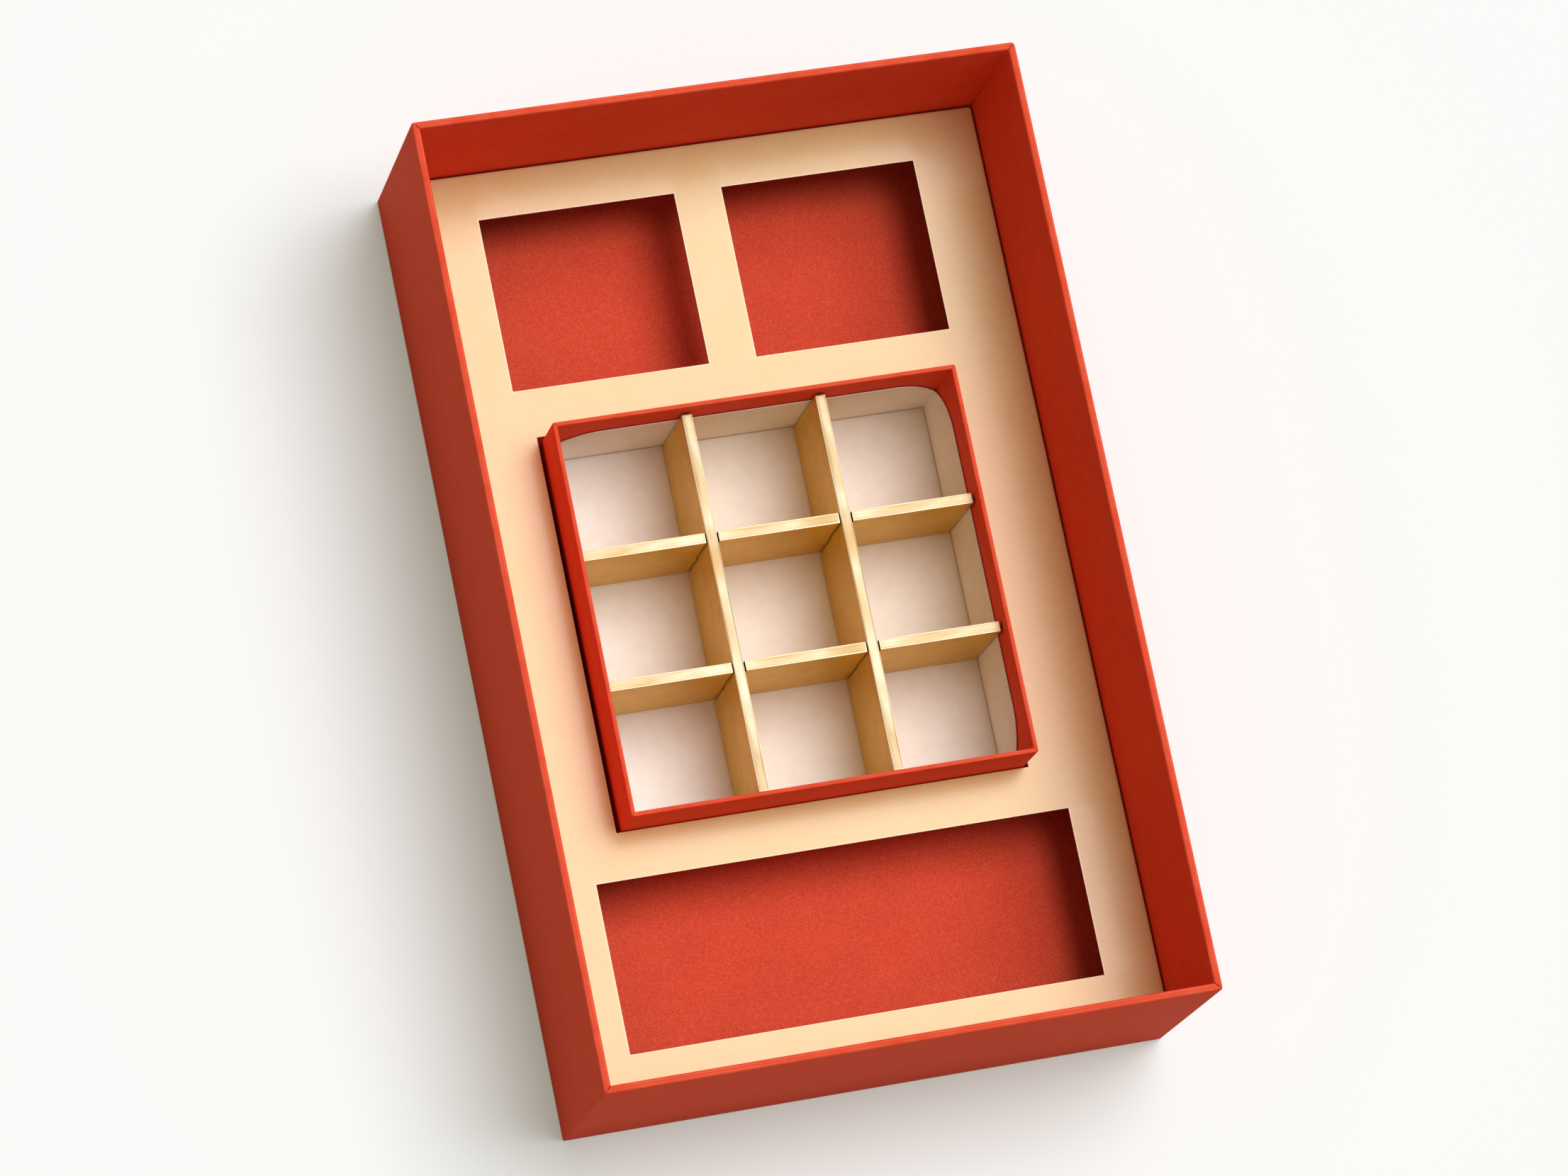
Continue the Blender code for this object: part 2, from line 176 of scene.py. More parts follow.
def paper_finish(name, shades, cloud_size, fibre_size, relief, roughness, gloss, rub_and_highlight_colour=None):
    """Paper or board: two shades in soft clouds, fine fibres in colour and relief, and a paler shade by attribute
    for wear and painted highlight.
    """
    material, tree, place = start_finish(name)
    tint, blend, clouds, fibres = two_shades(
        tree, place, shades, 0.55, {"Scale": 1 / cloud_size, "Detail": 4, "Roughness": 0.6},
        {"Scale": 1 / fibre_size, "Detail": 3, "Roughness": 0.65, "Distortion": 0.6})
    # A paler shade where the paper is rubbed, and along the rim's roll as a painted highlight.
    if rub_and_highlight_colour:
        worn = add_node(tree, "ShaderNodeAttribute", attribute_name="worn").outputs["Fac"]
        patchy = add_node(tree, "ShaderNodeMapRange",
                          {"Value": clouds, "From Min": 0.35, "From Max": 0.62, "To Min": 0.25})
        rub_and_highlight_share = add_node(tree, "ShaderNodeMath", {0: worn, 1: patchy}, operation="MULTIPLY")
        tint = add_node(tree, "ShaderNodeMix", {"Factor": rub_and_highlight_share, "A": tint, "B": colour(rub_and_highlight_colour)},
                        data_type="RGBA")
    matt = add_node(tree, "ShaderNodeMapRange",
                    {"Value": blend, "To Min": roughness - 0.05, "To Max": roughness + 0.05})
    end_finish(tree, fibres, relief, {"Base Color": tint, "Roughness": matt, "Specular IOR Level": gloss})
    return material


# Greyboard is pressed from waste paper: a dull warm grey, speckled with dark and pale fibres.
greyboard = paper_finish("pressed_greyboard", ("#4d4843", "#6f6860"), cloud_size=6 * mm, fibre_size=0.5 * mm,
                         relief=0.05 * mm, roughness=0.9, gloss=0.25)
# Gummed kraft is unbleached paper: even brown with a faint machine finish.
kraft_tape = paper_finish("gummed_kraft_paper", ("#6d4a30", "#8a623f"), cloud_size=4 * mm, fibre_size=0.35 * mm,
                          relief=0.03 * mm, roughness=0.8, gloss=0.3)
for node_name, node in nodes.items():
    bare_name = node_name.removeprefix("tray_")
    if bare_name.startswith(("board_", "base_board")):
        node.material_slots[0].material = greyboard
    if bare_name.startswith("stay_"):
        node.material_slots[0].material = kraft_tape


# Red wrapping: one laminated art paper, glued round the outside of each wall, rolled over the board's edge and
# turned down inside, with the corners cut to a mitre. Its ends part in a dark slit on top of the rim, and meet in
# a fine seam below it.
red_shades = ("#e34828", "#ed5938")
# Laminated art paper has a matt film over an even red. The film is painted paler along the two edges of each rim's
# roll, as painted highlight with some rubbing, and is rubbed paler round the corners and at the mitres.
red_wrapping = paper_finish("laminated_red_art_paper", red_shades, cloud_size=9 * mm, fibre_size=0.45 * mm,
                            relief=0.035 * mm, roughness=0.7, gloss=0.06, rub_and_highlight_colour="#f7664e")
# The lining has no film: the same red, a little rougher, with more of the fibres to be seen.
red_lining = paper_finish("uncoated_red_lining_paper", red_shades, cloud_size=7 * mm, fibre_size=0.4 * mm,
                          relief=0.03 * mm, roughness=0.75, gloss=0.06)


def start_group(name, lengths, others):
    """An empty geometry tree, and its named inputs: lengths, and others with their kinds."""
    tree = bpy.data.node_groups.new(name, "GeometryNodeTree")
    tree.interface.new_socket("Geometry", in_out="OUTPUT", socket_type="NodeSocketGeometry")
    for socket_name, kind in {**dict.fromkeys(lengths, "Float"), **others}.items():
        tree.interface.new_socket(socket_name, in_out="INPUT", socket_type="NodeSocket" + kind)
    return tree, add_node(tree, "NodeGroupInput").outputs


def work_out(tree, sizes, formula):
    """Works out a formula's rows in turn: the name of a size, its sum, and the sizes or numbers that it takes."""
    for name, operation, *parts in formula:
        taken = {place: sizes[part] if isinstance(part, str) else part for place, part in enumerate(parts)}
        sizes[name] = add_node(tree, "ShaderNodeMath", taken, operation=operation)


def wrapped_wall_group():
    """One wall's wrapping: a section swept along the wall, bent round the corners and cut there to a mitre."""
    stations = 81
    crowding = 3.0
    inner_closing = 0.8
    corner_rub, seam_rub = 0.6, 0.7
    tree, given = start_group("wrapped_wall", ("Run", "Reach", "Corner Radius", "Rim Corner Radius", "Rim Height",
                                               "Rim Radius", "Seam", "Slit"), {"Section": "Object"})
    sizes = {socket.name: socket for socket in given}
    section = add_node(tree, "GeometryNodeObjectInfo", {"Object": given["Section"]}).outputs["Geometry"]
    line = add_node(tree, "GeometryNodeCurvePrimitiveLine", {"Start": (-1, 0, 0), "End": (1, 0, 0)})
    wall = add_node(tree, "GeometryNodeResampleCurve", {"Curve": line, "Count": stations})
    noted = []
    for curve, axes in ((section, {"depth": "X", "height": "Y"}), (wall, {"share": "X"})):
        on_curve = add_node(tree, "ShaderNodeSeparateXYZ", {"Vector": add_node(tree, "GeometryNodeInputPosition")})
        notes = add_node(tree, "GeometryNodeCaptureAttribute", {"Geometry": curve})
        for name in axes:
            notes.capture_items.new("FLOAT", name)
        for name, axis in axes.items():
            tree.links.new(on_curve.outputs[axis], notes.inputs[name])
            sizes[name] = notes.outputs[name]
        noted.append(notes)
    swept = add_node(tree, "GeometryNodeCurveToMesh",
                     {"Curve": noted[1], "Profile Curve": noted[0], "Fill Caps": True})

    work_out(tree, sizes, (
        ("below rim", "SUBTRACT", "Rim Height", "height"), ("drop", "DIVIDE", "below rim", "Rim Radius"),
        ("across", "DIVIDE", "depth", "Rim Radius"), ("past middle", "SUBTRACT", "across", 1.0),
        ("off middle", "ABSOLUTE", "past middle"),
    ))
    ramps = (("radius", "drop", 0.6, 1.0, given["Rim Corner Radius"], given["Corner Radius"]),
             ("near rim", "drop", 0.3, 0.8, 1.0, 0.0), ("inner part", "across", 0.3, 0.9, 0.0, 1.0),
             ("crown", "drop", 0.1, 0.6, 1.0, 0.0), ("rim edge", "off middle", 0.05, 0.4, 0.0, 1.0))
    for name, place, start, end, first, last in ramps:
        sizes[name] = add_node(tree, "ShaderNodeMapRange",
                               {"Value": sizes[place], "From Min": start, "From Max": end, "To Min": first,
                                "To Max": last}, interpolation_type="SMOOTHSTEP")
    work_out(tree, sizes, (
        ("half run", "MULTIPLY", "Run", 0.5), ("share size", "ABSOLUTE", "share"),
        ("to end", "SUBTRACT", 1.0, "share size"), ("crowded", "POWER", "to end", crowding),
        ("from end", "MULTIPLY", "crowded", "half run"), ("turned", "DIVIDE", "from end", "radius"),
        ("turned share", "MINIMUM", "turned", 1.0), ("round share", "SUBTRACT", 1.0, "turned share"),
        ("angle", "MULTIPLY", "round share", math.pi / 4), ("sine", "SINE", "angle"),
        ("cosine", "COSINE", "angle"), ("radius left", "SUBTRACT", "radius", "depth"),
        ("inner radius", "MAXIMUM", "radius left", 0.0), ("end room", "MAXIMUM", "from end", "radius"),
        ("straight", "SUBTRACT", "half run", "end room"),
        ("along", "MULTIPLY_ADD", "inner radius", "sine", "straight"),
        ("to middle", "MULTIPLY", "inner radius", "cosine"), ("deeper", "MAXIMUM", "depth", "radius"),
        ("inward", "SUBTRACT", "deeper", "to middle"), ("closed share", "MULTIPLY", "inner part", inner_closing),
        ("open share", "SUBTRACT", 1.0, "closed share"), ("seam here", "MULTIPLY", "Seam", "open share"),
        ("slit room", "SUBTRACT", "Slit", "seam here"), ("slit share", "MULTIPLY", "near rim", "inner part"),
        ("gap", "MULTIPLY_ADD", "slit room", "slit share", "seam here"),
        ("half gap", "MULTIPLY", "gap", math.sqrt(0.5)), ("corner", "SUBTRACT", "half run", "inward"),
        ("mitre", "SUBTRACT", "corner", "half gap"), ("reached", "MINIMUM", "along", "mitre"),
        ("side", "SIGN", "share"), ("x", "MULTIPLY", "reached", "side"), ("y", "SUBTRACT", "Reach", "inward"),
        # The rim's two edges take a painted highlight as well as wear; the corners and the mitres are rubbed
        # paler.
        ("corner rubbing", "MULTIPLY", "round share", corner_rub), ("rim rub and highlight", "MULTIPLY", "crown", "rim edge"),
        ("folded in", "LESS_THAN", "mitre", "along"), ("seam share", "MULTIPLY", "folded in", "inner part"),
        ("seam rubbing", "MULTIPLY", "seam share", seam_rub), ("outer rub and highlight", "MAXIMUM", "rim rub and highlight", "corner rubbing"),
        ("worn", "MAXIMUM", "outer rub and highlight", "seam rubbing"),
    ))
    spot = add_node(tree, "ShaderNodeCombineXYZ", {"X": sizes["x"], "Y": sizes["y"], "Z": sizes["height"]})
    bent = add_node(tree, "GeometryNodeSetPosition", {"Geometry": swept, "Position": spot})
    # Each point's share of the paler shade: rubbing, and the painted highlight on the rim.
    marked = add_node(tree, "GeometryNodeStoreNamedAttribute",
                      {"Geometry": bent, "Name": "worn", "Value": sizes["worn"]},
                      data_type="FLOAT", domain="POINT")
    merged = add_node(tree, "GeometryNodeMergeByDistance", {"Geometry": marked, "Distance": 0.002 * mm})
    add_node(tree, "NodeGroupOutput", {0: merged})
    return tree


def end_group(tree, given, grown, turn):
    """Ends a tree: what it has grown is turned, put in its place and made real, and takes its finish."""
    placed = add_node(tree, "GeometryNodeTransform",
                      {"Geometry": grown, "Rotation": turn, "Translation": given["Place"]})
    real = add_node(tree, "GeometryNodeRealizeInstances", {"Geometry": placed})
    finished = add_node(tree, "GeometryNodeSetMaterial", {"Geometry": real, "Material": given["Finish"]})
    add_node(tree, "NodeGroupOutput", {0: finished})


def carton_wrap_group(wall_group):
    """The four walls of a carton: a side wall and an end wall, each with its opposite, turned about the middle."""
    shared = ("Corner Radius", "Rim Corner Radius", "Rim Height", "Rim Radius", "Seam", "Slit")
    tree, given = start_group("carton_wrap", ("Width", "Length", *shared),
                              {"Section": "Object", "Place": "Vector", "Finish": "Material"})
    passed_on = {name: given[name] for name in ("Section", *shared)}
    joined = add_node(tree, "GeometryNodeJoinGeometry")
    for run, across, turns in (("Width", "Length", (0, 2)), ("Length", "Width", (1, 3))):
        reach = add_node(tree, "ShaderNodeMath", {0: given[across], 1: 0.5}, operation="MULTIPLY")
        wall = add_node(tree, "GeometryNodeGroup", {**passed_on, "Run": given[run], "Reach": reach},
                        node_tree=wall_group)
        for quarter in turns:
            turned = add_node(tree, "GeometryNodeTransform",
                              {"Geometry": wall, "Rotation": (0, 0, quarter * math.pi / 2)})
            tree.links.new(turned.outputs[0], joined.inputs[0])
    end_group(tree, given, joined, (0, 0, 0))
    return tree


def keep_result(piece):
    """Puts the piece's evaluated mesh in place of its modifiers."""
    bpy.context.view_layer.update()
    mesh = bpy.data.meshes.new_from_object(piece.evaluated_get(bpy.context.evaluated_depsgraph_get()))
    piece.modifiers.clear()
    piece.data = mesh
    mesh.name = piece.name


def grow(name, tree, values):
    """A plain mesh piece that a geometry tree has grown from these values."""
    piece = place_object(name, bpy.data.meshes.new(name + "_seed"))
    modifier = piece.modifiers.new(name, "NODES")
    modifier.node_group = tree
    for item in tree.interface.items_tree:
        if item.item_type == "SOCKET" and item.in_out == "INPUT":
            modifier[item.identifier] = values[item.name]
    keep_result(piece)
    return piece


def soften(piece, sharpest=40):
    """Smooth shading, but for edges that are sharper than an angle in degrees."""
    piece.data.polygons.foreach_set("use_smooth", [True] * len(piece.data.polygons))
    piece.data.set_sharp_from_angle(angle=math.radians(sharpest))


def arc(centre_x, centre_y, radius, start, end, steps):
    """Points along an arc between two angles in quarter turns, both ends included."""
    angles = [(start + (end - start) * step / steps) * math.pi / 2 for step in range(steps + 1)]
    return [(centre_x + radius * math.cos(angle), centre_y + radius * math.sin(angle)) for angle in angles]


def section_curve(name, points):
    """A closed curve through points, to be swept as a section."""
    curve = bpy.data.curves.new(name, "CURVE")
    spline = curve.splines.new("POLY")
    spline.points.add(len(points) - 1)
    spline.use_cyclic_u = True
    for point, (x, y) in zip(spline.points, points):
        point.co = (x, y, 0, 1)
    return place_object(name, curve)


def wrap_carton(name, body, replaced, width, length, height, wall, turn_in, paper, foot, rim_roll, sag,
                corner_radius, rim_corner_radius, slit, seam, place):
    """The wrapping of a carton, from its turned-under foot over the board's edge to the turned-in edge."""
    foot_steps, rim_steps = 4, 7
    foot_roll, roll_place = 2 * paper, height - rim_roll
    outer, inner = ([
        (wall, foot + inset), *arc(foot_roll, foot + foot_roll, foot_roll - inset, 3, 2, foot_steps),
        *arc(rim_roll, roll_place, rim_roll - inset, 2, 1, rim_steps), (wall / 2, height - sag - inset),
        *arc(wall - rim_roll, roll_place, rim_roll - inset, 1, 0, rim_steps), (wall - inset, height - turn_in),
    ] for inset in (0, paper))
    section = section_curve(name + "_section", outer + inner[::-1])
    values = {"Section": section, "Width": width, "Length": length, "Corner Radius": corner_radius,
              "Rim Corner Radius": rim_corner_radius, "Rim Height": height, "Rim Radius": wall / 2, "Seam": seam,
              "Slit": slit, "Place": place, "Finish": red_wrapping}
    piece = grow(name, carton_wrap, values)
    bpy.data.objects.remove(section)
    soften(piece)
    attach(piece, body)
    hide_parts(*replaced)


carton_wrap = carton_wrap_group(wrapped_wall_group())
sides = ("left", "right", "back", "front")
wrap_carton("box_wrap", "box_shell", ["wrap_" + side for side in sides], width=200 * mm, length=316 * mm,
            height=80 * mm, wall=2.52 * mm, turn_in=20.18 * mm, paper=0.18 * mm, foot=0.205 * mm,
            rim_roll=1.05 * mm, sag=0.05 * mm, corner_radius=0.66 * mm, rim_corner_radius=1.5 * mm,
            slit=0.26 * mm, seam=0.04 * mm, place=(0, 0, 0))
for side in sides:
    nodes["lining_" + side].material_slots[0].material = red_lining
for node_name in ("base_sheet", "tray_base_sheet"):
    nodes[node_name].material_slots[0].material = red_wrapping


# Floor lining: a red paper embossed with a fine leather grain and glued down inside. Fine wandering ridges stand
# up from it, smoother than the grit between them, and painted paler than the valleys, partly as painted highlight
# on the grain.
def grained_paper(name, valley, ridge, grain, relief, roughness, gloss):
    """Embossed paper: ridges where a wandering pattern crosses its middle, over a finer grit and soft clouds."""
    material, tree, place = start_finish(name)
    wander = add_node(tree, "ShaderNodeTexNoise",
                      {"Vector": place, "Scale": 1 / grain, "Detail": 1, "Distortion": 0.8})
    fine = add_node(tree, "ShaderNodeTexNoise",
                    {"Vector": place, "Scale": 1.8 / grain, "Detail": 2, "Roughness": 0.6})
    clouds = add_node(tree, "ShaderNodeTexNoise", {"Vector": place, "Scale": 0.05 / grain, "Detail": 3})
    off_ridge = add_node(tree, "ShaderNodeMath", {0: wander, 1: 0.5}, operation="SUBTRACT")
    from_ridge = add_node(tree, "ShaderNodeMath", {0: off_ridge}, operation="ABSOLUTE")
    ridges = add_node(tree, "ShaderNodeMapRange",
                      {"Value": from_ridge, "From Min": 0.0, "From Max": 0.12, "To Min": 1.0, "To Max": 0.0},
                      interpolation_type="SMOOTHSTEP")
    grit = add_node(tree, "ShaderNodeMapRange", {"Value": fine, "From Min": 0.35, "From Max": 0.65})
    raised = add_node(tree, "ShaderNodeMix", {"Factor": 0.4, "A": ridges, "B": grit}, data_type="FLOAT")
    # The ridges and grit are painted paler than the valleys, partly as painted highlight on the grain.
    shaded = add_node(tree, "ShaderNodeMix", {"Factor": raised, "A": colour(valley), "B": colour(ridge)},
                      data_type="RGBA")
    cloudy = add_node(tree, "ShaderNodeMapRange",
                      {"Value": clouds, "From Min": 0.3, "From Max": 0.7, "To Min": 0.97, "To Max": 1.03})
    tint = add_node(tree, "ShaderNodeVectorMath", {0: shaded, "Scale": cloudy}, operation="SCALE")
    matt = add_node(tree, "ShaderNodeMapRange",
                    {"Value": raised, "To Min": roughness + 0.1, "To Max": roughness - 0.06})
    end_finish(tree, raised, relief, {"Base Color": tint, "Roughness": matt, "Specular IOR Level": gloss})
    return material


# The real grain is about half a millimetre, which a picture of the whole box can't show, so it is drawn coarser.
leather_grain = 0.8 * mm
nodes["floor_lining"].material_slots[0].material = grained_paper(
    "leather_grained_red_paper", valley="#d4422b", ridge="#e75f47", grain=leather_grain, relief=0.05 * mm,
    roughness=0.5, gloss=0.03)


# Window platform: a cream-gold pearl card on four folded legs, with three wells and the tray's window punched out.
# The punch presses each well's upper edge down a little, and that line is painted pale as a highlight; its cut
# shows the card's golden brown core.
def pearl_card(name, shades, edge, core, roughness, gloss, gloss_tint):
    """Coated card with fine mica: soft clouds of two shades, a faint satin grain, edges painted pale as a
    highlight, and a brown core.
    """
    material, tree, place = start_finish(name)
    tint, blend, _, mica = two_shades(tree, place, shades, 0.5,
                                      {"Scale": 1 / (14 * mm), "Detail": 4, "Roughness": 0.55},
                                      {"Scale": 1 / (0.6 * mm), "Detail": 2, "Roughness": 0.7})
    # The pressed lines and the folds' crowns are painted pale as a highlight; the cut shows the core.
    for mark, shade in (("pressed", edge), ("cut", core)):
        marked = add_node(tree, "ShaderNodeAttribute", attribute_name=mark).outputs["Fac"]
        tint = add_node(tree, "ShaderNodeMix", {"Factor": marked, "A": tint, "B": colour(shade)},
                        data_type="RGBA")
    matt = add_node(tree, "ShaderNodeMapRange",
                    {"Value": blend, "To Min": roughness - 0.04, "To Max": roughness + 0.04})
    end_finish(tree, mica, 0.012 * mm, {"Base Color": tint, "Roughness": matt, "Specular IOR Level": gloss,
                                        "Specular Tint": colour(gloss_tint)})
    return material


# Pearl card has mica in its coat, which gives a soft satin sheen over an even cream gold.
# The edge colour is the painted highlight on the pressed lines and the folds.
cream_gold_card = pearl_card("cream_gold_pearl_card", ("#f0d594", "#f6e0aa"), edge="#fff2cc", core="#94602f",
                             roughness=0.25, gloss=0.5, gloss_tint="#d8d0e4")

card = 1.0 * mm
card_roll = 1.1 * mm
pressed_width = 0.4 * mm
pressed_depth = 0.06 * mm
card_top = 26 * mm
card_foot = 2.6 * mm
leg_relief = 2.0 * mm
card_half_x = 96.88 * mm
card_half_y = 154.88 * mm
windows = {
    "back_left": ((-73.48, 80.55), (-8.0, 138.98)),
    "back_right": ((8.0, 80.55), (73.48, 138.98)),
    "tray": ((-68.75, -67.65), (68.35, 64.35)),
    "front": ((-78.48, -138.48), (78.48, -83.05)),
}
windows = {name: [Vector(corner) * mm for corner in corners] for name, corners in windows.items()}


def spot_finder(shape):
    """A function that gives the shape's vertex at a place, and adds it there the first time."""
    made = {}

    def spot(x, y, z):
        key = (round(x, 7), round(y, 7), round(z, 7))
        if key not in made:
            made[key] = shape.verts.new(key)
        return made[key]

    return spot


def skin_mesh(name, shape, looks_up):
    """The mesh of a finished skin, welded, and turned so that its broad faces look up or down."""
    bmesh.ops.remove_doubles(shape, verts=shape.verts, dist=0.001 * mm)
    bmesh.ops.recalc_face_normals(shape, faces=shape.faces)
    mesh = bpy.data.meshes.new(name)
    shape.to_mesh(mesh)
    shape.free()
    if (sum(face.normal.z * face.area for face in mesh.polygons) > 0) != looks_up:
        mesh.flip_normals()
    return mesh


def build_platform():
    """The card's outer skin: a flat top on a grid through the windows' edges, rolled over at its rim into legs."""
    roll_steps, turn_steps = 9, 6
    flat_x, flat_y = card_half_x - card_roll, card_half_y - card_roll
    leg_x, leg_y = card_half_x - leg_relief, card_half_y - leg_relief
    lines_x, lines_y = {-flat_x, flat_x, -leg_x, leg_x}, {-flat_y, flat_y, -leg_y, leg_y}
    for low, high in windows.values():
        lines_x |= {low.x - pressed_width, low.x, high.x, high.x + pressed_width}
        lines_y |= {low.y - pressed_width, low.y, high.y, high.y + pressed_width}
    lines_x, lines_y = sorted(lines_x), sorted(lines_y)
    shape = bmesh.new()
    spot = spot_finder(shape)

    def skin(*corners):
        corners = list(dict.fromkeys(corners))
        if len(corners) > 2:
            shape.faces.new(corners)

    def punched(x, y):
        return any(low.x < x < high.x and low.y < y < high.y for low, high in windows.values())

    def top_at(x, y):
        on_edge = any(low.x <= x <= high.x and low.y <= y <= high.y for low, high in windows.values())
        return card_top - pressed_depth if on_edge else card_top

    for x_0, x_1 in zip(lines_x, lines_x[1:]):
        for y_0, y_1 in zip(lines_y, lines_y[1:]):
            if not punched((x_0 + x_1) / 2, (y_0 + y_1) / 2):
                skin(*(spot(x, y, top_at(x, y)) for x, y in ((x_0, y_0), (x_1, y_0), (x_1, y_1), (x_0, y_1))))
    roll = arc(0, card_top - card_roll, card_roll, 1, 0, roll_steps)

    def edge_point(place, out, step):
        reach, height = roll[step]
        return spot(place[0] + out[0] * reach, place[1] + out[1] * reach, height)

    def roll_over(place_0, out_0, place_1, out_1):
        for step in range(roll_steps):
            skin(edge_point(place_0, out_0, step), edge_point(place_1, out_1, step),
                 edge_point(place_1, out_1, step + 1), edge_point(place_0, out_0, step + 1))

    edges = [((sign, 0), [(sign * flat_x, y) for y in lines_y], leg_y) for sign in (-1, 1)]
    edges += [((0, sign), [(x, sign * flat_y) for x in lines_x], leg_x) for sign in (-1, 1)]
    for out, stations, leg_end in edges:
        for start, end in zip(stations, stations[1:]):
            roll_over(start, out, end, out)
            along = [abs(start[0] * out[1] + start[1] * out[0]), abs(end[0] * out[1] + end[1] * out[0])]
            if max(along) <= leg_end + 0.01 * mm:
                foot = [spot(x + out[0] * card_roll, y + out[1] * card_roll, card_foot) for x, y in (start, end)]
                skin(edge_point(start, out, roll_steps), edge_point(end, out, roll_steps), foot[1], foot[0])
    turns = arc(0, 0, 1, 0, 1, turn_steps)
    for side, end in ((-1, -1), (-1, 1), (1, -1), (1, 1)):
        corner = (side * flat_x, end * flat_y)
        for (cos_0, sin_0), (cos_1, sin_1) in zip(turns, turns[1:]):
            roll_over(corner, (side * cos_0, end * sin_0), corner, (side * cos_1, end * sin_1))
    return skin_mesh("window_platform", shape, looks_up=True)


def thicken(piece, thickness):
    """Gives a skin whose faces point outwards its thickness inwards."""
    modifier = piece.modifiers.new("thickness", "SOLIDIFY")
    modifier.thickness = thickness
    modifier.offset = -1
    modifier.use_even_offset = True


def round_edges(piece, width):
    """Rounds the edges that are sharper than half a right angle."""
    modifier = piece.modifiers.new("rounding", "BEVEL")
    modifier.width = width
    modifier.segments = 2
    modifier.limit_method = "ANGLE"
    modifier.angle_limit = math.radians(45)
    modifier.use_clamp_overlap = True


def mark_faces(piece, name, chosen):
    """A named mark, 1 on the faces that a test chooses and 0 on the rest."""
    mark = piece.data.attributes.new(name, "FLOAT", "FACE")
    mark.data.foreach_set("value", [float(chosen(face)) for face in piece.data.polygons])


def near_window(face, names):
    """How far a face's middle lies outside the nearest of these windows."""
    x, y, z = face.center
    return min(math.hypot(max(windows[name][0].x - x, 0, x - windows[name][1].x),
                          max(windows[name][0].y - y, 0, y - windows[name][1].y)) for name in names)


# How far up a face's normal points: a face is upright below the first, and on a fold's crown below the second.
upright_below, folded_below = 0.4, 0.85


def pressed(face):
    """The painted highlight: the line pressed round each well's window, and the crown of the card's folds."""
    wells = windows.keys() - {"tray"}
    at_window = face.center.z > card_top - 0.2 * mm and near_window(face, wells) < pressed_width
    beyond = max(abs(face.center.x) - card_half_x, abs(face.center.y) - card_half_y) + card_roll
    on_fold = beyond > 0 and face.normal.z < folded_below
    return face.normal.z > upright_below and (at_window or on_fold)


def cut(face):
    """The bare board: the cut edges of the windows, and the whole underside."""
    x, y, z = face.center
    upright = abs(face.normal.z) <= upright_below
    at_cut = upright and z > card_top - 1.2 * card and near_window(face, windows) < 0.1 * mm
    inward = x * face.normal.x < 0 if abs(face.normal.x) > abs(face.normal.y) else y * face.normal.y < 0
    return at_cut or face.normal.z < -upright_below or (upright and inward and z < card_top - card_roll)


window_platform = place_object("window_platform", build_platform())
window_platform.data.materials.append(cream_gold_card)
thicken(window_platform, card)
round_edges(window_platform, width=0.08 * mm)
keep_result(window_platform)
mark_faces(window_platform, "pressed", pressed)
mark_faces(window_platform, "cut", cut)
soften(window_platform)
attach(window_platform, "platform")
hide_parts("platform_card")


# Tray: a small carton, made and wrapped as the box is but from thinner board, that stands in the platform's
# window and rises above it.
tray_place = Vector((0, -2, 2.6)) * mm
wrap_carton("tray_wrap", "tray", ["tray_wrap_" + side for side in sides], width=134.5 * mm, length=130.5 * mm,
            height=43.6 * mm, wall=1.5 * mm, turn_in=26 * mm, paper=0.144 * mm, foot=0.165 * mm,
            rim_roll=0.62 * mm, sag=0.03 * mm, corner_radius=0.52 * mm, rim_corner_radius=1.0 * mm,
            slit=0.14 * mm, seam=0.04 * mm, place=tray_place)


# Liner: one sheet of soft white paper, cut with rounded ears, creased and folded up inside the tray's walls.
# The creases are painted darker, as painted shade in the folds, and each ear falls away to the corner in a gentle
# curve.
liner_paper = 0.3 * mm
liner_foot = Vector((0, -2, 3.9)) * mm
liner_half = Vector((65.45, 63.45)) * mm
flap_height = 29.9 * mm
ear_drop = 11.5 * mm
ear_run = 17.5 * mm
ear_curve = 2.3
flap_gap = 0.02 * mm
crease_roll = 0.35 * mm
crease_width = 0.12 * mm


